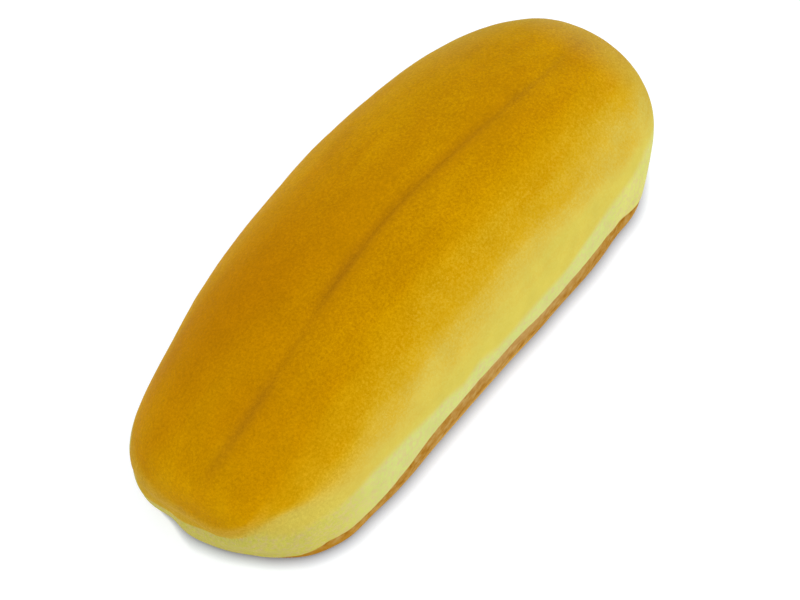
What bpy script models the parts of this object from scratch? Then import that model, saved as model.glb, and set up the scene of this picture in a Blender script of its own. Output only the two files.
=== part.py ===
"""A potato sandwich roll: one soft, pan-baked loaf of bread, unsliced.

The roll lies on its flat base. +X runs along its length to the far end, -Y is
the side that shows most, and Z is the height above the table. Its base is an
oval with straight sides and a tight lower edge, its sides stand nearly
upright, and its domed crown carries a shallow seam from end to end.
"""

import math

import bmesh
import bpy

# Overall size, in metres. The waist is where the sides turn into the crown.
LENGTH = 0.152
WIDTH = 0.0629
HEIGHT = 0.0414
WAIST_HEIGHT = 0.0115

# Crown: exponents of its outline seen from above, and of its section.
WAIST_OUTLINE = 3.11
RIDGE_OUTLINE = 2.18
OUTLINE_END_TREND = -0.5
OUTLINE_SIDE_TREND = -0.73
CROWN_SECTION = 2.3
RIDGE_BLEND_TOP = 0.8

# Sides and base. The straight stretches are measured from the middle.
EDGE_RADIUS = 0.003
BASE_INSET = 0.0013
NEAR_STRAIGHT = 0.049
FAR_STRAIGHT = 0.0415
REAR_ROUNDING = 0.75
REAR_ROUNDING_FROM = -0.1
REAR_ROUNDING_TO = 0.6

# How the shaped dough strays from an even oval.
TAPER = 0.048
BEND = 0.0003
CROWN_LEAN = -0.002
NEAR_UNDERCUT = 0.0007
UNDERCUT_BEARING = math.radians(-165)
UNDERCUT_SPREAD = math.radians(22)
UNDERCUT_FULL_BELOW = 0.35
UNDERCUT_NONE_ABOVE = 1.25

# A slight hollow in the rear shoulder, towards the near end.
HOLLOW_DEPTH = 0.001
HOLLOW_X = -0.051
HOLLOW_SPREAD = 0.015

# The seam along the crown: its swaying path, then its depth and widths.
SEAM_MEAN_Y = -0.0029
SEAM_SWAY = 0.0014
SEAM_SWAY_LENGTH = 0.107
SEAM_SWAY_START = 0.019
SEAM_LINE_REACH = 0.35
SEAM_DEPTH = 0.0009
SEAM_HALF_WIDTH = 0.001
SEAM_SHOULDER = 0.0034
SEAM_LINE_SHARE = 0.45
SEAM_NEAR_END = -0.073
SEAM_FAR_END = 0.064
SEAM_FADE = 0.018
SEAM_FULL_RISE = 0.6

# The pinch beneath the crown's lip, round the near end. Bearings are turned
# from the near end towards the shown side, about the near cap's middle.
PINCH_DEPTH = 0.0013
PINCH_HALF_HEIGHT = 0.0026
PINCH_LOW = 0.0093
PINCH_RISE = 0.0100
PINCH_RISE_FROM = math.radians(14)
PINCH_RISE_TO = math.radians(42)
PINCH_FULL_TO = math.radians(45)
PINCH_GONE_AT = math.radians(88)
PINCH_REAR_FULL_TO = math.radians(-12)
PINCH_REAR_GONE_AT = math.radians(-60)

# Mesh lines, as places on a cube that runs from -1 to 1 each way.
LENGTH_SEGMENTS = 54
SEAM_LINES = (0.024, 0.05, 0.08, 0.12, 0.175)
SIDE_LINE_SEGMENTS = 8
CROWN_RINGS = 8
SIDE_RINGS = 5
EDGE_RINGS = 4
EDGE_STARTS = 0.6

ROLL_NAME = "roll"
CRUST_COLOUR = "#C48A08"
CRUST_ROUGHNESS = 0.62


def clear_scene():
    """Remove whatever the open file already holds."""
    for item in list(bpy.data.objects):
        bpy.data.objects.remove(item, do_unlink=True)


def smooth_step(start, end, value):
    """Ease from 0 at start to 1 at end."""
    share = min(max((value - start) / (end - start), 0.0), 1.0)
    return share * share * (3.0 - 2.0 * share)


def bell(offset, spread):
    """A bump of height 1 that falls away over the spread."""
    return math.exp(-(offset / spread) ** 2)


def oval_outline(across, along, power):
    """Point of a unit superellipse in the direction (across, along)."""
    reach = (abs(across) ** power + abs(along) ** power) ** (1.0 / power)
    return across / reach, along / reach


def straight_sided_outline(across, along, straight):
    """Point of a unit oval whose sides run straight as far as the given share."""
    run = abs(across)
    rise = max(abs(along), 1e-9)
    if run / rise <= straight:
        reach = 1.0 / rise
    else:
        cap = 1.0 - straight
        square = (run / cap) ** 2 + rise ** 2
        linear = -2.0 * run * straight / cap ** 2
        constant = (straight / cap) ** 2 - 1.0
        root = math.sqrt(max(linear ** 2 - 4.0 * square * constant, 0.0))
        reach = (root - linear) / (2.0 * square)
    return reach * across, reach * along


def outline_trend(across, along):
    """Change of the outline's exponent towards one end and one side."""
    return OUTLINE_END_TREND * across + OUTLINE_SIDE_TREND * along


def crown_point(direction):
    """Point of the plain domed crown in a direction from the waist's middle."""
    x, y, z = direction
    plan_reach = max(math.hypot(x, y), 1e-9)
    rise = smooth_step(0.0, RIDGE_BLEND_TOP, z)
    power = WAIST_OUTLINE + (RIDGE_OUTLINE - WAIST_OUTLINE) * rise
    power += outline_trend(x / plan_reach, y / plan_reach) * (1.0 - rise)
    section = (abs(y) ** CROWN_SECTION + abs(z) ** CROWN_SECTION) ** (1.0 / CROWN_SECTION)
    reach = (abs(x) ** power + section ** power) ** (1.0 / power)
    return [
        0.5 * LENGTH * x / reach,
        0.5 * WIDTH * y / reach,
        WAIST_HEIGHT + (HEIGHT - WAIST_HEIGHT) * z / reach,
    ]


def side_point(across, along, drop):
    """Point of the side, from the waist (drop 0) to the edge of the base (drop 1)."""
    side = min(drop / EDGE_STARTS, 1.0)
    turn = 0.5 * math.pi * max((drop - EDGE_STARTS) / (1.0 - EDGE_STARTS), 0.0)
    inset = BASE_INSET * side ** 2 + EDGE_RADIUS * (1.0 - math.cos(turn))
    height = WAIST_HEIGHT + (EDGE_RADIUS - WAIST_HEIGHT) * side - EDGE_RADIUS * math.sin(turn)
    share = side * (1.0 - REAR_ROUNDING * smooth_step(REAR_ROUNDING_FROM, REAR_ROUNDING_TO, along))
    oval = oval_outline(across, along, WAIST_OUTLINE + outline_trend(across, along) * (1.0 - share))
    straight = (NEAR_STRAIGHT if across < 0.0 else FAR_STRAIGHT) / (0.5 * LENGTH)
    base = straight_sided_outline(across, along, straight)
    return [
        (0.5 * LENGTH - inset) * (oval[0] + (base[0] - oval[0]) * share),
        (0.5 * WIDTH - inset) * (oval[1] + (base[1] - oval[1]) * share),
        max(height, 0.0),
    ]


def crown_rise(point):
    """Height of a point within the crown, from 0 at the waist to 1 at the top."""
    return min(max((point[2] - WAIST_HEIGHT) / (HEIGHT - WAIST_HEIGHT), 0.0), 1.0)


def ridge_y(x):
    """Sideways place of the crown's middle line at a place along the length."""
    return BEND * (1.0 - (x / (0.5 * LENGTH)) ** 2) + CROWN_LEAN


def seam_y(x):
    """Sideways place of the seam at a place along the length."""
    return SEAM_MEAN_Y - SEAM_SWAY * math.sin(2.0 * math.pi * (x - SEAM_SWAY_START) / SEAM_SWAY_LENGTH)


def lean_and_bend(point):
    """Widen the far end, bow the roll sideways and lean its crown."""
    share = point[0] / (0.5 * LENGTH)
    point[1] *= 1.0 + TAPER * share
    point[1] += BEND * (1.0 - share ** 2) + CROWN_LEAN * crown_rise(point)


def undercut_near_end(point):
    """Draw the lower part of the near end inward, beneath the crown."""
    bearing = math.atan2(point[1] / WIDTH, point[0] / LENGTH)
    turn = (bearing - UNDERCUT_BEARING + math.pi) % (2.0 * math.pi) - math.pi
    low = 1.0 - smooth_step(UNDERCUT_FULL_BELOW, UNDERCUT_NONE_ABOVE, point[2] / WAIST_HEIGHT)
    pull = NEAR_UNDERCUT * bell(turn, UNDERCUT_SPREAD) * low
    normal_x = math.cos(bearing) / LENGTH
    normal_y = math.sin(bearing) / WIDTH
    size = math.hypot(normal_x, normal_y)
    point[0] -= pull * normal_x / size
    point[1] -= pull * normal_y / size


def hollow_rear_shoulder(point):
    """Flatten the rear side a little, towards the near end."""
    rear = smooth_step(0.0, 0.5 * WIDTH, point[1])
    point[1] -= HOLLOW_DEPTH * bell(point[0] - HOLLOW_X, HOLLOW_SPREAD) * rear


def press_seam(point):
    """Press the seam into the crown, fading it out at both ends."""
    offset = point[1] - seam_y(point[0])
    near_fade = smooth_step(SEAM_NEAR_END, SEAM_NEAR_END + SEAM_FADE, point[0])
    far_fade = 1.0 - smooth_step(SEAM_FAR_END - SEAM_FADE, SEAM_FAR_END, point[0])
    line = bell(offset, SEAM_HALF_WIDTH)
    shoulder = bell(offset, SEAM_SHOULDER)
    profile = SEAM_LINE_SHARE * line + (1.0 - SEAM_LINE_SHARE) * shoulder
    rise = smooth_step(0.0, SEAM_FULL_RISE, crown_rise(point))
    point[2] -= SEAM_DEPTH * profile * near_fade * far_fade * rise


def pinch_near_end(point):
    """Pinch the near end in a line beneath the crown's lip."""
    bearing = math.atan2(-point[1], -point[0] - NEAR_STRAIGHT)
    height = PINCH_LOW + PINCH_RISE * smooth_step(PINCH_RISE_FROM, PINCH_RISE_TO, bearing)
    fade = 1.0 - smooth_step(PINCH_FULL_TO, PINCH_GONE_AT, bearing)
    fade *= 1.0 - smooth_step(PINCH_REAR_FULL_TO, PINCH_REAR_GONE_AT, bearing)
    pull = PINCH_DEPTH * bell(point[2] - height, PINCH_HALF_HEIGHT) * fade
    point[0] += pull * math.cos(bearing)
    point[1] += pull * math.sin(bearing)


def seam_line_shift(along_slope, sideways, upward):
    """Sideways slope that carries the crown's mesh lines onto the seam's path."""
    reach = (abs(along_slope) ** RIDGE_OUTLINE + 1.0) ** (1.0 / RIDGE_OUTLINE)
    x = 0.5 * LENGTH * along_slope / reach
    shift = (seam_y(x) - ridge_y(x)) * reach / (0.5 * WIDTH)
    return shift * bell(sideways, SEAM_LINE_REACH) * smooth_step(0.0, 1.0, upward)


def roll_point(place):
    """Point of the roll for a place on the cube that its mesh starts as."""
    along, sideways, upward = place
    slope_x = math.tan(0.25 * math.pi * along)
    slope_y = math.tan(0.25 * math.pi * sideways)
    if upward > 0.0:
        slope_y += seam_line_shift(slope_x, sideways, upward)
        slope_z = math.tan(0.25 * math.pi * upward)
        size = math.sqrt(slope_x ** 2 + slope_y ** 2 + slope_z ** 2)
        point = crown_point((slope_x / size, slope_y / size, slope_z / size))
    else:
        size = math.hypot(slope_x, slope_y)
        point = side_point(slope_x / size, slope_y / size, -upward)
    lean_and_bend(point)
    undercut_near_end(point)
    hollow_rear_shoulder(point)
    press_seam(point)
    pinch_near_end(point)
    return point


def mesh_lines():
    """Places of the cuts along, across and up the cube."""
    along = [-1.0 + 2.0 * step / LENGTH_SEGMENTS for step in range(1, LENGTH_SEGMENTS)]
    spacing = (1.0 - SEAM_LINES[-1]) / SIDE_LINE_SEGMENTS
    half = list(SEAM_LINES) + [SEAM_LINES[-1] + spacing * step for step in range(1, SIDE_LINE_SEGMENTS)]
    across = [-value for value in half] + [0.0] + half
    crown = [step / CROWN_RINGS for step in range(CROWN_RINGS)]
    side = [-EDGE_STARTS * step / SIDE_RINGS for step in range(1, SIDE_RINGS + 1)]
    edge = [-EDGE_STARTS - (1.0 - EDGE_STARTS) * step / EDGE_RINGS for step in range(1, EDGE_RINGS)]
    return along, across, crown + side + edge


def cut_cube():
    """A closed cube with every mesh line cut into it and one face beneath."""
    mesh = bmesh.new()
    bmesh.ops.create_cube(mesh, size=2.0)
    for axis, places in enumerate(mesh_lines()):
        normal = [1.0 if index == axis else 0.0 for index in range(3)]
        for place in places:
            bmesh.ops.bisect_plane(
                mesh,
                geom=mesh.verts[:] + mesh.edges[:] + mesh.faces[:],
                dist=1e-6,
                plane_co=[place * value for value in normal],
                plane_no=normal,
            )
    beneath = [face for face in mesh.faces if face.calc_center_median().z < -0.999]
    bmesh.ops.dissolve_faces(mesh, faces=beneath, use_verts=False)
    return mesh


def centre_over_origin(mesh):
    """Bring the middle of the roll's outline over the origin."""
    for axis in (0, 1):
        places = [vertex.co[axis] for vertex in mesh.verts]
        middle = 0.5 * (min(places) + max(places))
        for vertex in mesh.verts:
            vertex.co[axis] -= middle


def linear_colour(code):
    """Linear RGBA of a hex colour."""
    values = [int(code[start:start + 2], 16) / 255.0 for start in (1, 3, 5)]
    linear = [value / 12.92 if value <= 0.04045 else ((value + 0.055) / 1.055) ** 2.4 for value in values]
    return linear + [1.0]


def crust_material():
    """Soft golden crust of an enriched bread."""
    material = bpy.data.materials.new("golden_crust")
    material.use_nodes = True
    shader = material.node_tree.nodes["Principled BSDF"]
    shader.inputs["Base Color"].default_value = linear_colour(CRUST_COLOUR)
    shader.inputs["Roughness"].default_value = CRUST_ROUGHNESS
    shader.inputs["Metallic"].default_value = 0.0
    return material


def build_roll(collection):
    """The whole roll, as one closed body."""
    mesh = cut_cube()
    for vertex in mesh.verts:
        vertex.co = roll_point(vertex.co)
    centre_over_origin(mesh)
    bmesh.ops.recalc_face_normals(mesh, faces=mesh.faces[:])
    data = bpy.data.meshes.new(ROLL_NAME)
    mesh.to_mesh(data)
    mesh.free()
    data.materials.append(crust_material())
    data.shade_smooth()
    collection.objects.link(bpy.data.objects.new(ROLL_NAME, data))


clear_scene()
parts = bpy.data.collections.new("potato_sandwich_roll")
bpy.context.scene.collection.children.link(parts)
build_roll(parts)
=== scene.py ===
"""A soft potato sandwich roll on a white table, seen from above its near side.

The roll is one piece of bread. It is shaped from a block of dough, pressed
along its seam, wrinkled, browned and laid on a plain white table under soft
studio light. +X is the roll's far end and -Y the side that the camera sees.
Sizes and places are in metres.
"""

import math

import bpy
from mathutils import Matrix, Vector


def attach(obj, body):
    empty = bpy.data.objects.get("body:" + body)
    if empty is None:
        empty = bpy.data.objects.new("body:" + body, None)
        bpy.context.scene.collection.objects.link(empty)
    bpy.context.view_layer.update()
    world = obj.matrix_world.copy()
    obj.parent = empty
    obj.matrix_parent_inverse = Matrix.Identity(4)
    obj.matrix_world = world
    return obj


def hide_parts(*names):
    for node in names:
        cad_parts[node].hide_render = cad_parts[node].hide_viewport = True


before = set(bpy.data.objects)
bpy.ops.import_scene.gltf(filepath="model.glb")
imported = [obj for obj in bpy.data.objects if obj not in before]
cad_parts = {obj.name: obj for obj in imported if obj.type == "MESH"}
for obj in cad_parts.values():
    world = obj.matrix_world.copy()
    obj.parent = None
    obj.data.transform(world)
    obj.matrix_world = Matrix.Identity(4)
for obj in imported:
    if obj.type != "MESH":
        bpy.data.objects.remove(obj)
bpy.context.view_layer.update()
bpy.ops.object.select_all(action="DESELECT")


# ---------------------------------------------------------------------------
# The dough, shaped and proofed. The real roll is one piece of soft enriched
# dough, rolled out long and set in a pan. A block is cut into small faces and
# drawn out to the risen form: upright sides, a tight lower edge, a domed crown.
# ---------------------------------------------------------------------------

LENGTH = 0.152
WIDTH = 0.0629
HEIGHT = 0.0414
WAIST_HEIGHT = 0.0115

# Exponents of the ovals that the dough fills: 2 is an ellipse, and more is squarer.
WAIST_OUTLINE = 3.11
RIDGE_OUTLINE = 2.18
OUTLINE_END_TREND = -0.5
OUTLINE_SIDE_TREND = -0.73
CROWN_SECTION = 2.3
RIDGE_BLEND_TOP = 0.8

# The side: its lower edge, how far the base runs straight to each end, and
# how much rounder it is at the rear.
EDGE_RADIUS = 0.003
EDGE_STARTS = 0.6
BASE_INSET = 0.0013
NEAR_STRAIGHT = 0.049
FAR_STRAIGHT = 0.0415
REAR_ROUNDING = 0.75
REAR_ROUNDING_FROM = -0.1
REAR_ROUNDING_TO = 0.6

# The line of the seam, which the faces follow, and the lean of the crown.
SEAM_MEAN_Y = -0.0029
SEAM_SWAY = 0.0014
SEAM_SWAY_LENGTH = 0.107
SEAM_SWAY_START = 0.019
SEAM_LINE_REACH = 0.35
CROWN_BEND = 0.0003
CROWN_LEAN = -0.002

# Cuts of the block. Those beside the seam are shares of half the width.
CUTS_ALONG = 54
CUTS_BESIDE_SEAM = (0.024, 0.05, 0.08, 0.12, 0.175)
CUTS_ACROSS_SIDE = 8
CUTS_UP_CROWN = 8
CUTS_UP_SIDE = 5
CUTS_UP_EDGE = 4
FINE_CUTS = 3

NEARLY_ZERO = 1e-9
BASE_BELOW = 1e-7


def ease(start, end, value):
    """Ease from 0 at start to 1 at end."""
    share = min(max((value - start) / (end - start), 0.0), 1.0)
    return share * share * (3.0 - 2.0 * share)


def bell(offset, spread):
    """A bump of height 1 that falls away over the spread."""
    return math.exp(-((offset / spread) ** 2))


def seam_y(x):
    """Sideways place of the seam at a place along the roll."""
    swing = 2.0 * math.pi * (x - SEAM_SWAY_START) / SEAM_SWAY_LENGTH
    return SEAM_MEAN_Y - SEAM_SWAY * math.sin(swing)


def outline_trend(across, along):
    """Change of the outline's exponent towards one end and one side."""
    return OUTLINE_END_TREND * across + OUTLINE_SIDE_TREND * along


def crown_point(x, y, z):
    """Point of the domed crown in a direction from the waist's middle."""
    plan_reach = max(math.hypot(x, y), NEARLY_ZERO)
    rise = ease(0.0, RIDGE_BLEND_TOP, z)
    power = WAIST_OUTLINE + (RIDGE_OUTLINE - WAIST_OUTLINE) * rise
    power += outline_trend(x / plan_reach, y / plan_reach) * (1.0 - rise)
    section = (abs(y) ** CROWN_SECTION + abs(z) ** CROWN_SECTION) ** (1.0 / CROWN_SECTION)
    reach = (abs(x) ** power + section ** power) ** (1.0 / power)
    return Vector((
        0.5 * LENGTH * x / reach,
        0.5 * WIDTH * y / reach,
        WAIST_HEIGHT + (HEIGHT - WAIST_HEIGHT) * z / reach,
    ))


def pan_outline(across, along, straight):
    """Point of a unit oval whose sides run straight as far as the given share."""
    run = abs(across)
    rise = max(abs(along), NEARLY_ZERO)
    if run / rise <= straight:
        reach = 1.0 / rise
    else:
        cap = 1.0 - straight
        square = (run / cap) ** 2 + rise ** 2
        linear = -2.0 * run * straight / cap ** 2
        constant = (straight / cap) ** 2 - 1.0
        root = math.sqrt(max(linear ** 2 - 4.0 * square * constant, 0.0))
        reach = (root - linear) / (2.0 * square)
    return reach * across, reach * along


def side_point(across, along, drop):
    """Point of the side, from the waist (drop 0) to the edge of the base (drop 1)."""
    side = min(drop / EDGE_STARTS, 1.0)
    turn = 0.5 * math.pi * max((drop - EDGE_STARTS) / (1.0 - EDGE_STARTS), 0.0)
    inset = BASE_INSET * side ** 2 + EDGE_RADIUS * (1.0 - math.cos(turn))
    height = WAIST_HEIGHT + (EDGE_RADIUS - WAIST_HEIGHT) * side - EDGE_RADIUS * math.sin(turn)
    share = side * (1.0 - REAR_ROUNDING * ease(REAR_ROUNDING_FROM, REAR_ROUNDING_TO, along))
    power = WAIST_OUTLINE + outline_trend(across, along) * (1.0 - share)
    oval = (abs(across) ** power + abs(along) ** power) ** (-1.0 / power)
    straight = (NEAR_STRAIGHT if across < 0.0 else FAR_STRAIGHT) / (0.5 * LENGTH)
    base = pan_outline(across, along, straight)
    return Vector((
        (0.5 * LENGTH - inset) * (oval * across + (base[0] - oval * across) * share),
        (0.5 * WIDTH - inset) * (oval * along + (base[1] - oval * along) * share),
        max(height, 0.0),
    ))


def risen_point(place):
    """Where a point of the block's skin ends up once the dough has risen."""
    slope_x = math.tan(0.25 * math.pi * place.x / (0.5 * LENGTH))
    sideways = place.y / (0.5 * WIDTH)
    slope_y = math.tan(0.25 * math.pi * sideways)
    if place.z > WAIST_HEIGHT:
        upward = (place.z - WAIST_HEIGHT) / (HEIGHT - WAIST_HEIGHT)
        reach = (abs(slope_x) ** RIDGE_OUTLINE + 1.0) ** (1.0 / RIDGE_OUTLINE)
        x = 0.5 * LENGTH * slope_x / reach
        ridge_y = CROWN_BEND * (1.0 - (x / (0.5 * LENGTH)) ** 2) + CROWN_LEAN
        shift = (seam_y(x) - ridge_y) * reach / (0.5 * WIDTH)
        slope_y += shift * bell(sideways, SEAM_LINE_REACH) * ease(0.0, 1.0, upward)
        slope_z = math.tan(0.25 * math.pi * upward)
        size = math.sqrt(slope_x ** 2 + slope_y ** 2 + slope_z ** 2)
        return crown_point(slope_x / size, slope_y / size, slope_z / size)
    size = math.hypot(slope_x, slope_y)
    if size < NEARLY_ZERO:
        return Vector((0.0, 0.0, 0.0))
    drop = 1.0 - max(place.z, 0.0) / WAIST_HEIGHT
    point = side_point(slope_x / size, slope_y / size, drop)
    if place.z < BASE_BELOW:
        point *= max(abs(place.x) / (0.5 * LENGTH), abs(sideways))
    return point


bpy.ops.mesh.primitive_cube_add(
    size=1.0,
    location=(0.0, 0.0, 0.5 * HEIGHT),
    scale=(LENGTH, WIDTH, HEIGHT),
)
roll = bpy.context.object
roll.name = "roll_crust"
roll.data.name = "roll_crust"
bpy.ops.object.transform_apply(location=True, rotation=True, scale=True)

spacing = (1.0 - CUTS_BESIDE_SEAM[-1]) / CUTS_ACROSS_SIDE
half_cuts = list(CUTS_BESIDE_SEAM)
for step in range(1, CUTS_ACROSS_SIDE):
    half_cuts.append(CUTS_BESIDE_SEAM[-1] + spacing * step)
cuts_along = [0.5 * LENGTH * (2.0 * step / CUTS_ALONG - 1.0) for step in range(1, CUTS_ALONG)]
cuts_across = [0.5 * WIDTH * share for share in [-cut for cut in half_cuts] + [0.0] + half_cuts]
cuts_up = []
for step in range(CUTS_UP_CROWN):
    cuts_up.append(WAIST_HEIGHT + (HEIGHT - WAIST_HEIGHT) * step / CUTS_UP_CROWN)
for step in range(1, CUTS_UP_SIDE + 1):
    cuts_up.append(WAIST_HEIGHT * (1.0 - EDGE_STARTS * step / CUTS_UP_SIDE))
for step in range(1, CUTS_UP_EDGE):
    cuts_up.append(WAIST_HEIGHT * (1.0 - EDGE_STARTS) * (1.0 - step / CUTS_UP_EDGE))

bpy.ops.object.mode_set(mode="EDIT")
for direction, cuts in (((1, 0, 0), cuts_along), ((0, 1, 0), cuts_across), ((0, 0, 1), cuts_up)):
    for cut in cuts:
        bpy.ops.mesh.select_all(action="SELECT")
        bpy.ops.mesh.bisect(plane_co=[cut * part for part in direction], plane_no=direction)
bpy.ops.mesh.select_all(action="SELECT")
bpy.ops.mesh.subdivide(number_cuts=FINE_CUTS)
bpy.ops.object.mode_set(mode="OBJECT")
for vertex in roll.data.vertices:
    vertex.co = risen_point(vertex.co)


# The set of the dough in the pan. It is fuller at its far end, its crown leans
# a little towards the camera's side, its near end is tucked in below, and its
# rear shoulder is slightly hollow where the next roll stood.

TAPER = 0.048
# The undercut's heights are shares of the waist's height.
NEAR_UNDERCUT = 0.0007
UNDERCUT_BEARING = math.radians(-165)
UNDERCUT_SPREAD = math.radians(22)
UNDERCUT_FULL_BELOW = 0.35
UNDERCUT_NONE_ABOVE = 1.25
HOLLOW_DEPTH = 0.001
HOLLOW_X = -0.051
HOLLOW_SPREAD = 0.015


def crown_rise(point):
    """Height of a point within the crown, from 0 at the waist to 1 at the top."""
    return min(max((point.z - WAIST_HEIGHT) / (HEIGHT - WAIST_HEIGHT), 0.0), 1.0)


for vertex in roll.data.vertices:
    point = vertex.co
    share = point.x / (0.5 * LENGTH)
    point.y *= 1.0 + TAPER * share
    point.y += CROWN_BEND * (1.0 - share ** 2) + CROWN_LEAN * crown_rise(point)
    bearing = math.atan2(point.y / WIDTH, point.x / LENGTH)
    turn = (bearing - UNDERCUT_BEARING + math.pi) % (2.0 * math.pi) - math.pi
    low = 1.0 - ease(UNDERCUT_FULL_BELOW, UNDERCUT_NONE_ABOVE, point.z / WAIST_HEIGHT)
    outward = Vector((math.cos(bearing) / LENGTH, math.sin(bearing) / WIDTH, 0.0)).normalized()
    point -= outward * NEAR_UNDERCUT * bell(turn, UNDERCUT_SPREAD) * low
    rear = ease(0.0, 0.5 * WIDTH, point.y)
    point.y -= HOLLOW_DEPTH * bell(point.x - HOLLOW_X, HOLLOW_SPREAD) * rear


# The seam and the pinched near end. The dough was folded and its edges pressed
# together, which leaves a shallow crease along the crown. The near end was
# tucked under, which leaves a lip with a soft pinch beneath it.

SEAM_DEPTH = 0.0009
SEAM_HALF_WIDTH = 0.001
SEAM_SHOULDER = 0.0034
SEAM_LINE_SHARE = 0.45
SEAM_NEAR_END = -0.073
SEAM_FAR_END = 0.064
SEAM_FADE = 0.018
SEAM_FULL_RISE = 0.6
# The pinch rises from the near tip, at bearing 0, round to the side that the
# camera sees, and fades out on both sides.
PINCH_DEPTH = 0.0013
PINCH_HALF_HEIGHT = 0.0026
PINCH_LOW = 0.0093
PINCH_RISE = 0.0100
PINCH_RISE_FROM = math.radians(14)
PINCH_RISE_TO = math.radians(42)
PINCH_FULL_TO = math.radians(45)
PINCH_GONE_AT = math.radians(88)
PINCH_REAR_FULL_TO = math.radians(-12)
PINCH_REAR_GONE_AT = math.radians(-60)


def seam_fade(x):
    """Strength of the seam along the roll, from 0 past its ends to 1."""
    near = ease(SEAM_NEAR_END, SEAM_NEAR_END + SEAM_FADE, x)
    far = 1.0 - ease(SEAM_FAR_END - SEAM_FADE, SEAM_FAR_END, x)
    return near * far


for vertex in roll.data.vertices:
    point = vertex.co
    offset = point.y - seam_y(point.x)
    profile = SEAM_LINE_SHARE * bell(offset, SEAM_HALF_WIDTH)
    profile += (1.0 - SEAM_LINE_SHARE) * bell(offset, SEAM_SHOULDER)
    on_crown = ease(0.0, SEAM_FULL_RISE, crown_rise(point))
    point.z -= SEAM_DEPTH * profile * seam_fade(point.x) * on_crown
    bearing = math.atan2(-point.y, -point.x - NEAR_STRAIGHT)
    height = PINCH_LOW + PINCH_RISE * ease(PINCH_RISE_FROM, PINCH_RISE_TO, bearing)
    fade = 1.0 - ease(PINCH_FULL_TO, PINCH_GONE_AT, bearing)
    fade *= 1.0 - ease(PINCH_REAR_FULL_TO, PINCH_REAR_GONE_AT, bearing)
    pull = PINCH_DEPTH * bell(point.z - height, PINCH_HALF_HEIGHT) * fade
    point.x += pull * math.cos(bearing)
    point.y += pull * math.sin(bearing)

# The roll is set with its middle over the origin.
for axis in (0, 1):
    places = [vertex.co[axis] for vertex in roll.data.vertices]
    middle = 0.5 * (min(places) + max(places))
    for vertex in roll.data.vertices:
        vertex.co[axis] -= middle


# The finer form that the solid leaves out. Low down the sides draw in or swell
# a little. Thin creases run in the seam and across the side, the near tip has
# a dimple, and the heel sets back a hair from the soft side above it.

# Bearing and spread in degrees, depth, and the heights below which it is full
# and above which it is gone. A depth below zero swells out.
TUCKS = (
    (-160.0, 20.0, 0.0002, 0.0040, 0.0130),
    (-155.0, 6.0, 0.0003, 0.0070, 0.0130),
    (168.0, 8.0, 0.0013, 0.0064, 0.0094),
    (-138.0, 5.0, -0.0004, 0.0040, 0.0080),
    (-125.0, 3.0, 0.0005, 0.0040, 0.0080),
    (-117.0, 5.0, -0.0003, 0.0060, 0.0110),
    (-80.0, 7.0, -0.0004, 0.0100, 0.0150),
    (-68.0, 6.0, -0.0004, 0.0080, 0.0130),
    (-60.0, 3.0, 0.0006, 0.0070, 0.0130),
    (-53.0, 4.0, -0.0003, 0.0110, 0.0160),
)
# A shallow draw across the rear side.
REAR_TUCK_X = 0.028
REAR_TUCK_SPREAD = 0.014
REAR_TUCK_DEPTH = 0.0005
# Creases across the side: depth, half width, and height at places along the roll.
CREASES = (
    (0.00030, 0.0006, ((0.0140, 0.0276), (0.0291, 0.0246), (0.0443, 0.0200))),
    (0.00022, 0.0004, ((-0.0620, 0.0191), (-0.0570, 0.0195), (-0.0510, 0.0192))),
)
CREASE_FADE = 0.004
# The thin crease in the seam, about the roll's middle.
SEAM_CREASE_DEPTH = 0.00016
SEAM_CREASE_HALF_WIDTH = 0.0006
SEAM_CREASE_FROM = -0.038
SEAM_CREASE_TO = 0.030
SEAM_CREASE_LOW_RISE = 0.3
SEAM_CREASE_SHIFT = -0.0004
# The small dimple in the near tip.
DIMPLE = (-0.0759, 0.0004, 0.0139)
DIMPLE_DEPTH = 0.00035
DIMPLE_SPREAD = 0.0013
# The step in at the heel's edge, and the share of it by which the soft side
# above it stands out.
HEEL_LEDGE = 0.00016
HEEL_LEDGE_FADE = 0.0004
SOFT_SIDE_SHARE = 0.7
SOFT_SIDE_TO = 0.020
# Height of the heel's upper edge, along the roll.
HEEL_EDGE = (
    (-0.072, 0.0008),
    (-0.066, 0.0028),
    (-0.060, 0.0054),
    (-0.054, 0.0053),
    (-0.048, 0.0060),
    (-0.042, 0.0077),
    (-0.036, 0.0092),
    (-0.030, 0.0112),
    (-0.024, 0.0121),
    (-0.012, 0.0123),
    (0.000, 0.0119),
    (0.012, 0.0111),
    (0.024, 0.0108),
    (0.036, 0.0104),
    (0.041, 0.0087),
    (0.048, 0.0062),
    (0.051, 0.0050),
    (0.055, 0.0038),
    (0.066, 0.0018),
)


def follow(table, place):
    """Values of a table at a place between its entries, evenly from one to the next."""
    if place <= table[0][0]:
        return table[0][1:]
    for start, end in zip(table, table[1:]):
        if place <= end[0]:
            share = (place - start[0]) / (end[0] - start[0])
            return [first + share * (last - first) for first, last in zip(start[1:], end[1:])]
    return table[-1][1:]


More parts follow.
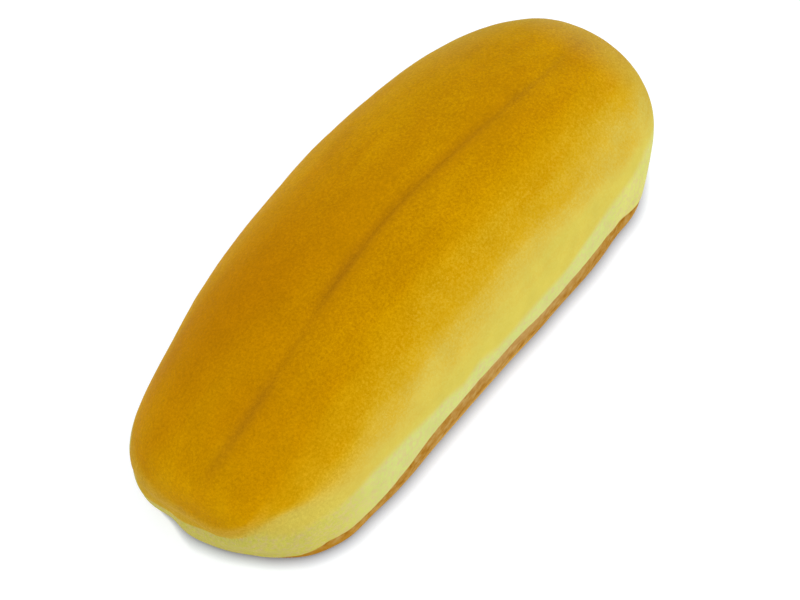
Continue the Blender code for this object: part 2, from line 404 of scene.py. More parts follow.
for vertex in roll.data.vertices:
    point = vertex.co
    x, y, z = point
    bearing = math.atan2(y / WIDTH, x / LENGTH)
    outward = Vector((math.cos(bearing) / LENGTH, math.sin(bearing) / WIDTH, 0.0)).normalized()
    inward = 0.0
    for middle, spread, depth, full_below, none_above in TUCKS:
        turn = (math.degrees(bearing) - middle + 180.0) % 360.0 - 180.0
        inward += depth * bell(turn, spread) * (1.0 - ease(full_below, none_above, z))
    for depth, half_width, line in CREASES:
        if y < 0.0:
            fade = ease(line[0][0] - CREASE_FADE, line[0][0] + CREASE_FADE, x)
            fade *= 1.0 - ease(line[-1][0] - CREASE_FADE, line[-1][0] + CREASE_FADE, x)
            inward += depth * bell(z - follow(line, x)[0], half_width) * fade
    below_edge = follow(HEEL_EDGE, x)[0] - z
    soft_side = SOFT_SIDE_SHARE * (1.0 - ease(WAIST_HEIGHT, SOFT_SIDE_TO, z))
    inward += HEEL_LEDGE * (ease(-HEEL_LEDGE_FADE, HEEL_LEDGE_FADE, below_edge) - soft_side)
    inward += DIMPLE_DEPTH * bell(math.dist(point, DIMPLE), DIMPLE_SPREAD)
    point -= outward * inward
    rear = ease(0.0, 0.5 * WIDTH, y)
    point.y -= REAR_TUCK_DEPTH * bell(x - REAR_TUCK_X, REAR_TUCK_SPREAD) * rear
    crease = bell(y - seam_y(x) - SEAM_CREASE_SHIFT, SEAM_CREASE_HALF_WIDTH)
    crease *= ease(SEAM_CREASE_LOW_RISE, SEAM_FULL_RISE, crown_rise(point))
    crease *= ease(SEAM_CREASE_FROM, SEAM_CREASE_FROM + SEAM_FADE, x)
    crease *= 1.0 - ease(SEAM_CREASE_TO - SEAM_FADE, SEAM_CREASE_TO, x)
    point.z -= SEAM_CREASE_DEPTH * crease


# The crust's skin. Soft dough sets with a slightly uneven skin: broad swells a
# centimetre or two across, and a fine, shallow grain. The base stays flat on
# the table, so both fade out towards it.

SWELL_SIZE = 0.016
SWELL_HEIGHT = 0.0004
GRAIN_SIZE = 0.0022
GRAIN_HEIGHT = 0.00006
NOISE_LAYERS = 2
NOISE_MIDDLE = 0.5
SKIN_FADE_HEIGHT = 0.004

skin = roll.vertex_groups.new(name="skin")
for vertex in roll.data.vertices:
    skin.add([vertex.index], ease(0.0, SKIN_FADE_HEIGHT, vertex.co.z), "REPLACE")
for name, size, height in (("swell", SWELL_SIZE, SWELL_HEIGHT), ("grain", GRAIN_SIZE, GRAIN_HEIGHT)):
    unevenness = bpy.data.textures.new("dough_" + name, "CLOUDS")
    unevenness.noise_scale = size
    unevenness.noise_depth = NOISE_LAYERS
    modifier = roll.modifiers.new(name, "DISPLACE")
    modifier.texture = unevenness
    modifier.texture_coords = "LOCAL"
    modifier.strength = height
    modifier.mid_level = NOISE_MIDDLE
    modifier.vertex_group = skin.name
    bpy.ops.object.modifier_apply(modifier=modifier.name)
bpy.ops.object.shade_smooth()


# Where the oven browned it. The crown is golden, down to a soft edge that is
# high along the sides and low round the near end. Below, the sides are yellow,
# then pale, with a brown heel along the bottom where the dough met the pan.

# Where this section names a pair of numbers, an effect starts at the first and
# is full, or is gone, at the second.

# Elevations, in degrees, at which the browning passes GILDING_LEVELS, after
# the bearing. They are seen from the middle of the waist, with the roll's
# length, width and height brought to one size. Bearing 0 is the far end, -90
# the side that the camera sees.
GILDING_LEVELS = (0.30, 0.50, 0.75, 1.00)
GILDING = (
    (-180.0, -9.5, -7.0, 3.0, 9.0),
    (-172.0, -7.5, -4.5, 3.0, 10.0),
    (-166.0, -6.5, -4.0, 3.5, 9.5),
    (-160.0, -0.5, 2.5, 7.0, 11.0),
    (-154.0, 6.5, 8.5, 11.0, 14.0),
    (-148.0, 12.0, 14.0, 16.5, 28.0),
    (-142.0, 16.0, 17.5, 20.0, 43.0),
    (-136.0, 18.5, 20.5, 25.5, 50.0),
    (-130.0, 19.5, 22.5, 29.0, 56.0),
    (-124.0, 23.0, 27.0, 38.0, 60.0),
    (-118.0, 26.5, 32.0, 43.0, 61.0),
    (-110.0, 32.5, 39.5, 52.0, 65.0),
    (-90.0, 33.0, 39.0, 50.5, 66.0),
    (-75.0, 32.0, 39.5, 51.0, 64.0),
    (-60.0, 24.5, 36.0, 45.5, 59.0),
    (-50.0, 17.0, 32.0, 44.0, 55.0),
    (-40.0, 11.0, 25.0, 37.0, 50.0),
    (-30.0, 4.0, 18.0, 28.0, 43.0),
    (-15.0, 0.0, 10.0, 19.0, 34.0),
    (5.0, 4.0, 13.0, 21.0, 31.0),
    (20.0, 10.0, 19.0, 28.0, 41.0),
    (40.0, 14.0, 23.0, 33.0, 48.0),
    (60.0, 13.0, 22.0, 32.0, 55.0),
    (90.0, 3.0, 13.0, 23.0, 50.0),
    (108.0, 0.0, 8.0, 18.0, 40.0),
    (125.0, -2.0, 3.0, 17.0, 35.0),
    (145.0, -6.0, -3.0, 8.0, 15.0),
    (160.0, -14.0, -11.0, 5.0, 13.0),
    (170.0, -13.0, -10.0, 4.0, 12.0),
    (180.0, -9.5, -7.0, 3.0, 9.0),
)
# The browning is least this many degrees under the first level, and most
# straight up.
LEAST_GILDING = 0.1
LEAST_GILDING_BELOW = 5.5
MOST_GILDING = 1.12
# The near end's lip, past these bearings, is tan where it is half browned.
LIP_BEARINGS = (146.0, 156.0)
TAN_FROM_GILDING = (0.3, 0.6)
TAN_TO_GILDING = (0.74, 0.96)
# Height of the pale band's upper edge, along the roll.
PALE_EDGE = (
    (-0.060, 0.0159),
    (-0.054, 0.0170),
    (-0.048, 0.0190),
    (-0.036, 0.0193),
    (-0.024, 0.0182),
    (-0.018, 0.0166),
    (-0.012, 0.0179),
    (-0.006, 0.0164),
    (0.018, 0.0162),
    (0.030, 0.0180),
    (0.038, 0.0184),
    (0.048, 0.0170),
    (0.056, 0.0168),
    (0.062, 0.0154),
    (0.068, 0.0130),
)
# At the near end the band gives way where the crust is browned, as if that
# place lay this many millimetres higher.
PALE_STOPS_GILDING = (0.2, 0.5)
PALE_STOP_RISE = 12.0
MILLIMETRES = 1000.0
# How strongly the heel's lower rim is orange, along the roll.
RIM_STRENGTH = (
    (-0.070, 0.8),
    (-0.056, 0.7),
    (-0.044, 0.3),
    (-0.034, 0.3),
    (-0.024, 0.75),
    (0.004, 0.9),
    (0.012, 0.4),
    (0.024, 0.25),
    (0.060, 0.35),
)
RIM_HEIGHT = 0.0028
RIM_REACH = 0.0011
# The heel is paler along its top, about the middle of the roll.
HEEL_TOP_X = 0.006
HEEL_TOP_REACH = 0.024
HEEL_TOP_HEIGHTS = (0.0060, 0.0100)
# How strongly the seam is darkened, along the roll: partly a browner crust and
# partly painted shade in its crease. The darkening lies a little to the
# camera's side of the crease.
SEAM_STAIN_AND_SHADE = (
    (-0.076, 0.0),
    (-0.070, 0.2),
    (-0.062, 0.33),
    (-0.053, 0.33),
    (-0.047, 0.08),
    (-0.034, 0.06),
    (-0.026, 0.3),
    (-0.020, 0.37),
    (-0.014, 0.24),
    (0.010, 0.2),
    (0.024, 0.24),
    (0.032, 0.1),
    (0.040, 0.25),
    (0.047, 0.1),
    (0.062, 0.17),
    (0.068, 0.0),
)
SEAM_STAIN_AND_SHADE_RISE = (0.15, 0.4)
SEAM_STAIN_AND_SHADE_SHIFT = -0.0006
SEAM_STAIN_AND_SHADE_WIDTH = 0.0015
# The near tip's dimple is darkened too, partly browner and partly painted shade in the hollow.
DIMPLE_STAIN_AND_SHADE = 0.25
# The deepest browning lies behind the seam towards the near end, and before
# it at the near end: middle, reach and strength of each patch.
TOASTED_PATCHES = (
    (-0.036, 0.013, 0.034, 0.017, 0.9),
    (-0.058, -0.010, 0.013, 0.010, 0.45),
)
TOASTED_RISE = (0.0, 0.5)
TOASTED_REAR_END = (0.019, 0.028)
# Painted shade: the crown is darkened over its rear shoulder, more and more
# towards its far end, where less light falls. The far tip is darkened too, and
# the near tip low down, which lies in slight shade.
PAINTED_SHADE_ALONG = (
    (-0.068, 0.0),
    (-0.056, 0.2),
    (-0.010, 0.06),
    (0.020, 0.35),
    (0.040, 0.6),
    (0.050, 0.85),
    (0.060, 0.95),
)
PAINTED_SHADE_ACROSS = (-0.012, 0.016)
PAINTED_SHADE_FAR_TIP = 0.5
FAR_TIP = (0.056, 0.070)
PAINTED_SHADE_NEAR_TIP = 0.95
NEAR_TIP = (-0.070, -0.056)
NEAR_TIP_TOP = (0.014, 0.024)
# The far end is paler, partly as if dusted with flour and partly painted sheen
# where the crust is seen at a grazing angle, and more so on its rear side.
DUSTED_AND_SHEEN = 0.16
DUSTED_AND_SHEEN_ALONG = (0.058, 0.070)
DUSTED_AND_SHEEN_REAR = 0.09
DUSTED_AND_SHEEN_REAR_ALONG = (0.030, 0.054)
DUSTED_AND_SHEEN_REAR_ACROSS = (0.008, 0.018)


def gilding(bearing, elevation):
    """How far the oven browned a place: 1 is golden, and the least is pale."""
    limits = follow(GILDING, bearing)
    steps = [(limits[0] - LEAST_GILDING_BELOW, LEAST_GILDING)]
    steps += zip(limits, GILDING_LEVELS)
    steps += [(90.0, MOST_GILDING)]
    return follow(steps, elevation)[0]


# What the oven did to each place, with the painted shade and the partly
# painted sheen, kept in the mesh for the crust's material.
browning = {
    "gilding": [],
    "lip": [],
    "pale_rise": [],
    "heel_rise": [],
    "rim": [],
    "heel_top": [],
    "seam": [],
    "painted_shade": [],
    "dusting_and_sheen": [],
    "toast": [],
}
for vertex in roll.data.vertices:
    x, y, z = vertex.co
    wide = x / (0.5 * LENGTH)
    deep = y / (0.5 * WIDTH)
    tall = (z - WAIST_HEIGHT) / (HEIGHT - WAIST_HEIGHT)
    bearing = math.degrees(math.atan2(deep, wide))
    elevation = math.degrees(math.atan2(tall, math.hypot(wide, deep)))
    gold = gilding(bearing, elevation)
    browning["gilding"].append(gold)

    on_lip = ease(*LIP_BEARINGS, abs(bearing))
    tan = on_lip * ease(*TAN_FROM_GILDING, gold)
    browning["lip"].append(tan * (1.0 - ease(*TAN_TO_GILDING, gold)))

    pale_rise = MILLIMETRES * (z - follow(PALE_EDGE, x)[0])
    pale_rise += PALE_STOP_RISE * on_lip * ease(*PALE_STOPS_GILDING, gold)
    browning["pale_rise"].append(pale_rise)

    browning["heel_rise"].append(MILLIMETRES * (z - follow(HEEL_EDGE, x)[0]))
    browning["rim"].append(follow(RIM_STRENGTH, x)[0] * bell(z - RIM_HEIGHT, RIM_REACH))
    heel_top = bell(x - HEEL_TOP_X, HEEL_TOP_REACH) * ease(*HEEL_TOP_HEIGHTS, z)
    browning["heel_top"].append(heel_top)

    # Partly a browner seam and partly painted shade in its crease and in the dimple.
    stain_and_shade = follow(SEAM_STAIN_AND_SHADE, x)[0] * bell(y - seam_y(x) - SEAM_STAIN_AND_SHADE_SHIFT, SEAM_STAIN_AND_SHADE_WIDTH)
    stain_and_shade *= ease(*SEAM_STAIN_AND_SHADE_RISE, tall)
    stain_and_shade += DIMPLE_STAIN_AND_SHADE * bell(math.dist(vertex.co, DIMPLE), DIMPLE_SPREAD)
    browning["seam"].append(stain_and_shade)

    # Painted shade where less light falls: the rear shoulder, the far tip and the near tip low down.
    painted_shade_rear = follow(PAINTED_SHADE_ALONG, x)[0] * ease(*PAINTED_SHADE_ACROSS, y)
    painted_shade_far_tip = PAINTED_SHADE_FAR_TIP * ease(*FAR_TIP, x)
    painted_shade_near_tip = PAINTED_SHADE_NEAR_TIP * (1.0 - ease(*NEAR_TIP, x)) * (1.0 - ease(*NEAR_TIP_TOP, z))
    browning["painted_shade"].append(max(painted_shade_rear, painted_shade_far_tip, painted_shade_near_tip))

    # Partly a dusting and partly painted sheen at grazing angles.
    dusting_and_sheen = DUSTED_AND_SHEEN * ease(*DUSTED_AND_SHEEN_ALONG, x)
    dusting_and_sheen += DUSTED_AND_SHEEN_REAR * ease(*DUSTED_AND_SHEEN_REAR_ALONG, x) * ease(*DUSTED_AND_SHEEN_REAR_ACROSS, y)
    browning["dusting_and_sheen"].append(dusting_and_sheen)

    toast = 0.0
    for middle_x, middle_y, reach_x, reach_y, strength in TOASTED_PATCHES:
        toast += strength * bell(x - middle_x, reach_x) * bell(y - middle_y, reach_y)
    toast *= ease(*TOASTED_RISE, tall)
    browning["toast"].append(toast * (1.0 - ease(*TOASTED_REAR_END, y)))

for name, values in browning.items():
    layer = roll.data.attributes.new(name, "FLOAT", "POINT")
    layer.data.foreach_set("value", values)


# The crust's material: baked bread crust, browned by the oven. It is nearly
# matte, a trace smoother where it is golden, and its colour comes from how far
# each place is browned, with painted shade and partly painted sheen laid on
# top. Fine light and dark flecks break up every tone.


def linear_colour(code):
    """Linear RGBA of a hex colour."""
    linear = []
    for start in (1, 3, 5):
        value = int(code[start:start + 2], 16) / 255.0
        if value <= 0.04045:
            linear.append(value / 12.92)
        else:
            linear.append(((value + 0.055) / 1.055) ** 2.4)
    return linear + [1.0]


def add_node(material, kind, settings=(), links=()):
    """Add a node to a material, with its settings and its incoming links."""
    node = material.node_tree.nodes.new(kind)
    for name, value in dict(settings).items():
        if isinstance(name, str) and hasattr(node, name):
            setattr(node, name, value)
        else:
            node.inputs[name].default_value = value
    for name, source in dict(links).items():
        material.node_tree.links.new(source, node.inputs[name])
    return node


# Inputs of a colour Mix node, and its output, which go by number because
# several share one name. So do the inputs of Math nodes: 0, 1 and 2.
MIX_SHARE = 0
MIX_FIRST = 6
MIX_SECOND = 7
MIX_RESULT = 2

# Sizes of the crust's patterns: fine flecks, as coarse as they need to be to
# show, tone mottles and streaks of 6 to 7 mm, the heel's 2 mm patches, and the
# pale band's 1 mm grain. Streaks are drawn out along the roll.
FLECK = 0.0006
MOTTLE = 0.006
STREAK = 0.007
STREAK_ALONG = 0.22
HEEL_PATCH = 0.0021
PALE_GRAIN = 0.0011
PATTERN_DETAIL = 3.0
PORE_DEPTH = 0.00012

# How much each thing counts in the browned tone. Flecks count for little at
# the near end and for more past these places along the roll.
GILDING_SHARE = 0.8
STREAK_SHARE = 0.48
FLECK_SHARE_NEAR_END = 0.15
FLECK_SHARE = 0.42
FLECKS_ALONG = (-0.062, -0.034)
BROWNED_OFFSET = 0.14

# Places along the roll where the look of each end starts and is full.
NEAR_END_ALONG = (-0.040, -0.064)
FAR_END_ALONG = (0.030, 0.046)

# Edges of the pale band and the heel, in millimetres: how far streaks and
# mottles make them wander, and where the colour starts and is full.
PALE_WAVE = 3.0
PALE_SOFT_EDGE = (3.2, 0.4)
HEEL_WAVE = 1.6
HEEL_SOFT_EDGE = (1.05, 0.55)

# Strength of the heel's paler top and of the near end's grain, and the tone
# where the painted shade is darkest.
HEEL_TOP_SHARE = 0.4
NEAR_END_GRAIN = 0.6
DARKEST_PAINTED_SHADE_TONE = 0.86

# Colours from the yellow side to the golden crown.
CRUST_RAMP = (
    (0.15, "#CEBD50"),
    (0.30, "#CEB549"),
    (0.44, "#CDA930"),
    (0.58, "#CAA016"),
    (0.72, "#C79603"),
    (0.86, "#C38E00"),
    (1.00, "#BB8300"),
)
PALE_BAND = "#C8CD73"
PALE_NEAR_END = "#C6BD52"
PALE_FAR_END = "#CFCE6B"
PALE_PINK = "#CFB084"
LIP_TAN = "#C79C2E"
TOASTED = "#B57700"
PALE_FLECK = "#E4D2A8"
HEEL_BROWNS = (
    (0.32, "#996310"),
    (0.45, "#A87522"),
    (0.56, "#B08238"),
    (0.70, "#B8924F"),
)
PAN_RIM = "#CF9E45"
PAN_RIM_NEAR_END = "#A87414"
SEAM_BROWN_AND_SHADE = "#8C5A12"
HEEL_TOP = "#C4A26A"
SATIN_TINT = "#FFDA7C"

crust = bpy.data.materials.new("baked_bread_crust")
crust.use_nodes = True
crust.node_tree.nodes.clear()
place = add_node(crust, "ShaderNodeTexCoord").outputs["Object"]
attribute = {
    name: add_node(crust, "ShaderNodeAttribute", {"attribute_name": name}).outputs["Fac"]
    for name in browning
}
fleck = add_node(
    crust, "ShaderNodeTexNoise",
    {"Scale": 1.0 / FLECK, "Detail": PATTERN_DETAIL, "Roughness": 0.85},
    {"Vector": place},
).outputs["Fac"]
mottle = add_node(
    crust, "ShaderNodeTexNoise",
    {"Scale": 1.0 / MOTTLE, "Detail": PATTERN_DETAIL, "Roughness": 0.55},
    {"Vector": place},
).outputs["Fac"]
drawn_out = add_node(
    crust, "ShaderNodeMapping",
    {"vector_type": "POINT", "Scale": (STREAK_ALONG, 1.0, 1.0)},
    {"Vector": place},
).outputs["Vector"]
streak = add_node(
    crust, "ShaderNodeTexNoise",
    {"Scale": 1.0 / STREAK, "Detail": PATTERN_DETAIL, "Roughness": 0.5},
    {"Vector": drawn_out},
).outputs["Fac"]

# Flecks and streaks shift how far each place is browned, so they show most
# where gold turns to yellow.
along = add_node(crust, "ShaderNodeSeparateXYZ", links={"Vector": place}).outputs["X"]
speckling = add_node(
    crust, "ShaderNodeMapRange",
    {
        "From Min": FLECKS_ALONG[0],
        "From Max": FLECKS_ALONG[1],
        "To Min": FLECK_SHARE_NEAR_END,
        "To Max": FLECK_SHARE,
    },
    {"Value": along},
).outputs["Result"]
centred_fleck = add_node(
    crust, "ShaderNodeMath",
    {"operation": "SUBTRACT", 1: NOISE_MIDDLE},
    {0: fleck},
).outputs["Value"]
flecks = add_node(
    crust, "ShaderNodeMath",
    {"operation": "MULTIPLY"},
    {0: centred_fleck, 1: speckling},
).outputs["Value"]
flecked = add_node(
    crust, "ShaderNodeMath",
    {"operation": "MULTIPLY_ADD", 1: GILDING_SHARE},
    {0: attribute["gilding"], 2: flecks},
).outputs["Value"]
browned = add_node(
    crust, "ShaderNodeMath",
    {"operation": "MULTIPLY_ADD", 1: STREAK_SHARE},
    {0: streak, 2: flecked},
).outputs["Value"]
browned = add_node(
    crust, "ShaderNodeMath",
    {"operation": "SUBTRACT", 1: BROWNED_OFFSET},
    {0: browned},
).outputs["Value"]
crust_ramp = add_node(crust, "ShaderNodeValToRGB", links={"Fac": browned})
while len(crust_ramp.color_ramp.elements) < len(CRUST_RAMP):
    crust_ramp.color_ramp.elements.new(0.5)
for element, (position, code) in zip(crust_ramp.color_ramp.elements, CRUST_RAMP):
    element.position = position
    element.color = linear_colour(code)
colour = crust_ramp.outputs["Color"]

# The deeper toasted patches of the crown.
colour = add_node(
    crust, "ShaderNodeMix",
    {"data_type": "RGBA", MIX_SECOND: linear_colour(TOASTED)},
    {MIX_SHARE: attribute["toast"], MIX_FIRST: colour},
).outputs[MIX_RESULT]

# The half-browned lip of the near end, speckled.
lip_speckle = add_node(
    crust, "ShaderNodeMapRange",
    {"From Min": 0.35, "From Max": 0.6, "To Min": 1.0, "To Max": 0.45},
    {"Value": fleck},
).outputs["Result"]
lip = add_node(
    crust, "ShaderNodeMath",
    {"operation": "MULTIPLY"},
    {0: lip_speckle, 1: attribute["lip"]},
).outputs["Value"]
colour = add_node(
    crust, "ShaderNodeMix",
    {"data_type": "RGBA", MIX_SECOND: linear_colour(LIP_TAN)},
    {MIX_SHARE: lip, MIX_FIRST: colour},
).outputs[MIX_RESULT]

# The pale band over the heel, with a soft upper edge and pinkish grains. It is
# yellower at both ends.
wavy_pale = add_node(
    crust, "ShaderNodeMath",
    {"operation": "MULTIPLY_ADD", 1: PALE_WAVE},
    {0: streak, 2: attribute["pale_rise"]},
).outputs["Value"]
pallor = add_node(
    crust, "ShaderNodeMapRange",
    {
        "interpolation_type": "SMOOTHSTEP",
        "From Min": PALE_SOFT_EDGE[0],
        "From Max": PALE_SOFT_EDGE[1],
    },
    {"Value": wavy_pale},
).outputs["Result"]
near_end = add_node(
    crust, "ShaderNodeMapRange",
    {
        "interpolation_type": "SMOOTHSTEP",
        "From Min": NEAR_END_ALONG[0],
        "From Max": NEAR_END_ALONG[1],
    },
    {"Value": along},
).outputs["Result"]
far_end = add_node(
    crust, "ShaderNodeMapRange",
    {
        "interpolation_type": "SMOOTHSTEP",
        "From Min": FAR_END_ALONG[0],
        "From Max": FAR_END_ALONG[1],
    },
    {"Value": along},
).outputs["Result"]
palest = add_node(
    crust, "ShaderNodeMix",
    {
        "data_type": "RGBA",
        MIX_FIRST: linear_colour(PALE_BAND),
        MIX_SECOND: linear_colour(PALE_NEAR_END),
    },
    {MIX_SHARE: near_end},
).outputs[MIX_RESULT]
palest = add_node(
    crust, "ShaderNodeMix",
    {"data_type": "RGBA", MIX_SECOND: linear_colour(PALE_FAR_END)},
    {MIX_SHARE: far_end, MIX_FIRST: palest},
).outputs[MIX_RESULT]
pale_grain = add_node(
    crust, "ShaderNodeTexNoise",
    {"Scale": 1.0 / PALE_GRAIN, "Detail": PATTERN_DETAIL, "Roughness": 0.7},
    {"Vector": place},
).outputs["Fac"]
pinkness = add_node(
    crust, "ShaderNodeMapRange",
    {"From Min": 0.42, "From Max": 0.68, "To Min": 0.0, "To Max": 0.6},
    {"Value": pale_grain},
).outputs["Result"]
palest = add_node(
    crust, "ShaderNodeMix",
    {"data_type": "RGBA", MIX_SECOND: linear_colour(PALE_PINK)},
    {MIX_SHARE: pinkness, MIX_FIRST: palest},
).outputs[MIX_RESULT]
colour = add_node(
    crust, "ShaderNodeMix",
    {"data_type": "RGBA"},
    {MIX_SHARE: pallor, MIX_FIRST: colour, MIX_SECOND: palest},
).outputs[MIX_RESULT]

# The seam, darker than the crown beside it, partly browner and partly painted
# shade in its crease, and the far end, paler, partly dusted and partly painted sheen.
colour = add_node(
    crust, "ShaderNodeMix",
    {"data_type": "RGBA", MIX_SECOND: linear_colour(SEAM_BROWN_AND_SHADE)},
    {MIX_SHARE: attribute["seam"], MIX_FIRST: colour},
).outputs[MIX_RESULT]
colour = add_node(
    crust, "ShaderNodeMix",
    {"data_type": "RGBA", MIX_SECOND: linear_colour(PALE_BAND)},
    {MIX_SHARE: attribute["dusting_and_sheen"], MIX_FIRST: colour},
).outputs[MIX_RESULT]

# Lighter and darker tones all over, large and small. The small ones show on
# the crown and over the whole near end.
mottle_tone = add_node(
    crust, "ShaderNodeMapRange",
    {"From Min": 0.2, "From Max": 0.8, "To Min": 0.95, "To Max": 1.07},
    {"Value": mottle},
).outputs["Result"]
grained = add_node(
    crust, "ShaderNodeMath",
    {"operation": "MULTIPLY_ADD", 1: NEAR_END_GRAIN},
    {0: near_end, 2: attribute["gilding"]},
).outputs["Value"]
fleck_depth = add_node(
    crust, "ShaderNodeMapRange",
    {"From Min": 0.4, "From Max": 0.9, "To Min": -0.04, "To Max": -0.8},
    {"Value": grained},
).outputs["Result"]
fleck_tone = add_node(
    crust, "ShaderNodeMath",
    {"operation": "MULTIPLY_ADD", 2: 1.0},
    {0: centred_fleck, 1: fleck_depth},
).outputs["Value"]
tone = add_node(
    crust, "ShaderNodeMath",
    {"operation": "MULTIPLY"},
    {0: mottle_tone, 1: fleck_tone},
).outputs["Value"]
# Painted shade: the tone is darkened over the rear shoulder, the far end and the near tip low down.
painted_shade_tone = add_node(
    crust, "ShaderNodeMapRange",
    {"To Min": 1.0, "To Max": DARKEST_PAINTED_SHADE_TONE},
    {"Value": attribute["painted_shade"]},
).outputs["Result"]
tone = add_node(
    crust, "ShaderNodeMath",
    {"operation": "MULTIPLY"},
    {0: tone, 1: painted_shade_tone},
).outputs["Value"]
colour = add_node(
    crust, "ShaderNodeVectorMath",
    {"operation": "SCALE"},
    {0: colour, "Scale": tone},
).outputs["Vector"]

# Faint pale flecks, none on the deep gold of the crown.
fleck_light = add_node(
    crust, "ShaderNodeMapRange",
    {"From Min": 0.52, "From Max": 0.25, "To Min": 0.0, "To Max": 0.1},
    {"Value": fleck},
).outputs["Result"]
fleck_share = add_node(
    crust, "ShaderNodeMapRange",
    {"From Min": 0.95, "From Max": 0.75, "To Min": 0.0, "To Max": 1.0},
    {"Value": attribute["gilding"]},
).outputs["Result"]
pale_flecking = add_node(
    crust, "ShaderNodeMath",
    {"operation": "MULTIPLY"},
    {0: fleck_light, 1: fleck_share},
).outputs["Value"]
pale_flecking = add_node(
    crust, "ShaderNodeMath",
    {"operation": "MULTIPLY"},
    {0: pale_flecking, 1: speckling},
).outputs["Value"]
colour = add_node(
    crust, "ShaderNodeMix",
    {"data_type": "RGBA", MIX_SECOND: linear_colour(PALE_FLECK)},
    {MIX_SHARE: pale_flecking, MIX_FIRST: colour},
).outputs[MIX_RESULT]

# The heel: brown where the pan browned it, mottled, with a crisp wavy edge and
# an orange lower rim.
wavy_heel = add_node(
    crust, "ShaderNodeMath",
    {"operation": "MULTIPLY_ADD", 1: HEEL_WAVE},
    {0: mottle, 2: attribute["heel_rise"]},
).outputs["Value"]
heel = add_node(
    crust, "ShaderNodeMapRange",
    {
        "interpolation_type": "SMOOTHSTEP",
        "From Min": HEEL_SOFT_EDGE[0],
        "From Max": HEEL_SOFT_EDGE[1],
    },
    {"Value": wavy_heel},
).outputs["Result"]
heel_patch = add_node(
    crust, "ShaderNodeTexNoise",
    {"Scale": 1.0 / HEEL_PATCH, "Detail": PATTERN_DETAIL, "Roughness": 0.6},
    {"Vector": place},
).outputs["Fac"]
heel_ramp = add_node(crust, "ShaderNodeValToRGB", links={"Fac": heel_patch})
while len(heel_ramp.color_ramp.elements) < len(HEEL_BROWNS):
    heel_ramp.color_ramp.elements.new(0.5)
for element, (position, code) in zip(heel_ramp.color_ramp.elements, HEEL_BROWNS):
    element.position = position
    element.color = linear_colour(code)
heel_top = add_node(
    crust, "ShaderNodeMath",
    {"operation": "MULTIPLY", 1: HEEL_TOP_SHARE},
    {0: attribute["heel_top"]},
).outputs["Value"]
heel_colour = add_node(
    crust, "ShaderNodeMix",
    {"data_type": "RGBA", MIX_SECOND: linear_colour(HEEL_TOP)},
    {MIX_SHARE: heel_top, MIX_FIRST: heel_ramp.outputs["Color"]},
).outputs[MIX_RESULT]
colour = add_node(
    crust, "ShaderNodeMix",
    {"data_type": "RGBA"},
    {MIX_SHARE: heel, MIX_FIRST: colour, MIX_SECOND: heel_colour},
).outputs[MIX_RESULT]
rim = add_node(
    crust, "ShaderNodeMath",
    {"operation": "MULTIPLY"},
    {0: heel, 1: attribute["rim"]},
).outputs["Value"]
rim_colour = add_node(
    crust, "ShaderNodeMix",
    {
        "data_type": "RGBA",
        MIX_FIRST: linear_colour(PAN_RIM),
        MIX_SECOND: linear_colour(PAN_RIM_NEAR_END),
    },
    {MIX_SHARE: near_end},
).outputs[MIX_RESULT]
colour = add_node(
    crust, "ShaderNodeMix",
    {"data_type": "RGBA"},
    {MIX_SHARE: rim, MIX_FIRST: colour, MIX_SECOND: rim_colour},
).outputs[MIX_RESULT]

# Bump: the fine pores that the flecks sit in.
pores = add_node(
    crust, "ShaderNodeBump",
    {"Strength": 0.6, "Distance": PORE_DEPTH},
    {"Height": fleck},
).outputs["Normal"]
roughness = add_node(
    crust, "ShaderNodeMapRange",
    {"To Min": 0.75, "To Max": 0.5},
    {"Value": attribute["gilding"]},
).outputs["Result"]
shader = add_node(
    crust, "ShaderNodeBsdfPrincipled",
    {
        "Specular IOR Level": 0.008,
        "Specular Tint": linear_colour(SATIN_TINT),
        "Sheen Weight": 0.003,
        "Sheen Roughness": 0.5,
    },
    {"Base Color": colour, "Roughness": roughness, "Normal": pores},
)
add_node(crust, "ShaderNodeOutputMaterial", links={"Surface": shader.outputs["BSDF"]})
roll.data.materials.append(crust)

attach(roll, "root")
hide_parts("roll")


# ---------------------------------------------------------------------------
# The table: a plain white matte board that the roll lies on, wide enough to
# fill the picture. It has a painted glow, emission that stands in for bright
# light so that it comes out white, and the glow fades close beside the roll,
# which paints its narrow contact shadow.
# ---------------------------------------------------------------------------

TABLE_SIZE = 6.0
BOARD_SHADE = "#AFB8C4"
BOARD_GLOW = "#FFFFFF"
GLOW_STRENGTH = 0.66
# The painted glow fades within this reach of the roll, to none where a place
# is open to this share of the light; this paints the contact shadow.
GLOW_REACH = 0.0028
GLOW_NONE_AT = 0.15
OPENNESS_SAMPLES = 16
# Below the near end's rear corner the painted contact shadow is made thinner,
# as if light reached in there.
NEAR_CORNER_DIRECTION = (-1.0, 1.0, 0.0)
NEAR_CORNER_FROM = 0.074
NEAR_CORNER_TO = 0.083
NEAR_CORNER_REACH = 0.0004

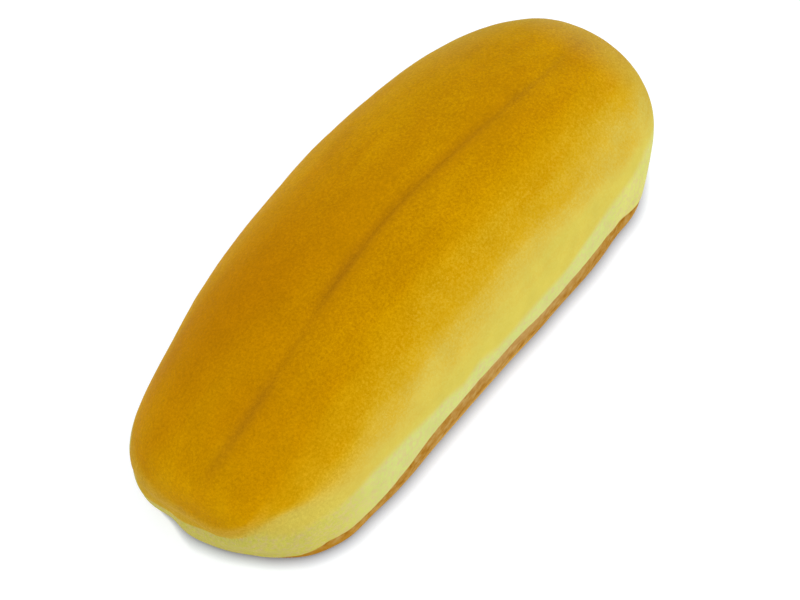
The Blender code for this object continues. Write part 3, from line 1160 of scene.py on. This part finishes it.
bpy.ops.object.select_all(action="DESELECT")
bpy.ops.mesh.primitive_plane_add(size=TABLE_SIZE, location=(0.0, 0.0, 0.0))
table = bpy.context.object
table.name = "white_table"
paint = bpy.data.materials.new("matte_white_board")
paint.use_nodes = True
paint.node_tree.nodes.clear()
board_place = add_node(paint, "ShaderNodeTexCoord").outputs["Object"]
toward_near_corner = add_node(
    paint, "ShaderNodeVectorMath",
    {"operation": "DOT_PRODUCT", 1: NEAR_CORNER_DIRECTION},
    {0: board_place},
).outputs["Value"]
painted_shadow_reach = add_node(
    paint, "ShaderNodeMapRange",
    {
        "From Min": NEAR_CORNER_FROM,
        "From Max": NEAR_CORNER_TO,
        "To Min": GLOW_REACH,
        "To Max": NEAR_CORNER_REACH,
    },
    {"Value": toward_near_corner},
).outputs["Result"]
openness = add_node(
    paint, "ShaderNodeAmbientOcclusion",
    {"samples": OPENNESS_SAMPLES},
    {"Distance": painted_shadow_reach},
).outputs["AO"]
# Painted glow: light that the board gives out itself, less where the roll shuts out the surround,
# which paints the contact shadow.
painted_glow = add_node(
    paint, "ShaderNodeMapRange",
    {"From Min": GLOW_NONE_AT, "From Max": 1.0, "To Min": 0.0, "To Max": GLOW_STRENGTH},
    {"Value": openness},
).outputs["Result"]
surface = add_node(
    paint, "ShaderNodeBsdfPrincipled",
    {
        "Base Color": linear_colour(BOARD_SHADE),
        "Roughness": 0.9,
        "Specular IOR Level": 0.0,
        "Emission Color": linear_colour(BOARD_GLOW),
    },
    {"Emission Strength": painted_glow},
)
add_node(paint, "ShaderNodeOutputMaterial", links={"Surface": surface.outputs["BSDF"]})
table.data.materials.append(paint)


# ---------------------------------------------------------------------------
# The studio light: an even white surround, and one wide softbox to the right
# of the picture that brings out the side of the roll.
# ---------------------------------------------------------------------------

SURROUND_COLOUR = "#FFFFFF"
SURROUND_STRENGTH = 1.0
SOFTBOX_SIZE = 0.9
SOFTBOX_POWER = 2.4
SOFTBOX_DISTANCE = 1.3
SOFTBOX_HEADING = math.radians(-75)
SOFTBOX_ELEVATION = math.radians(35)

scene = bpy.context.scene
scene.view_settings.view_transform = "Standard"
surround = bpy.data.worlds.new("white_surround")
surround.use_nodes = True
background = surround.node_tree.nodes["Background"]
background.inputs["Color"].default_value = linear_colour(SURROUND_COLOUR)
background.inputs["Strength"].default_value = SURROUND_STRENGTH
scene.world = surround

from_roll = Vector((
    math.cos(SOFTBOX_ELEVATION) * math.cos(SOFTBOX_HEADING),
    math.cos(SOFTBOX_ELEVATION) * math.sin(SOFTBOX_HEADING),
    math.sin(SOFTBOX_ELEVATION),
))
bpy.ops.object.light_add(
    type="AREA",
    location=from_roll * SOFTBOX_DISTANCE,
    rotation=from_roll.to_track_quat("Z", "Y").to_euler(),
)
softbox = bpy.context.object
softbox.name = "softbox"
softbox.data.shape = "DISK"
softbox.data.size = SOFTBOX_SIZE
softbox.data.energy = SOFTBOX_POWER


# ---------------------------------------------------------------------------
# The camera: a long lens, 55 degrees above the table, looking along the roll
# from its near end with the far end towards the picture's upper right.
# ---------------------------------------------------------------------------

CAMERA_TILT = math.radians(35.0)
CAMERA_TURN = math.radians(-54.55)
CAMERA_DISTANCE = 0.8786
CAMERA_RIGHT = 0.00132
CAMERA_UP = 0.0012
LENS = 180.1
SENSOR_WIDTH = 36.0
CLIP_START = 0.01

toward_camera = Vector((
    math.sin(CAMERA_TILT) * math.sin(CAMERA_TURN),
    -math.sin(CAMERA_TILT) * math.cos(CAMERA_TURN),
    math.cos(CAMERA_TILT),
))
picture_right = Vector((math.cos(CAMERA_TURN), math.sin(CAMERA_TURN), 0.0))
picture_up = toward_camera.cross(picture_right)
camera_place = toward_camera * CAMERA_DISTANCE + picture_right * CAMERA_RIGHT
camera_place += picture_up * CAMERA_UP
bpy.ops.object.camera_add(
    location=camera_place,
    rotation=(CAMERA_TILT, 0.0, CAMERA_TURN),
)
camera = bpy.context.object
camera.name = "camera"
camera.data.lens = LENS
camera.data.sensor_width = SENSOR_WIDTH
camera.data.clip_start = CLIP_START
scene.camera = camera
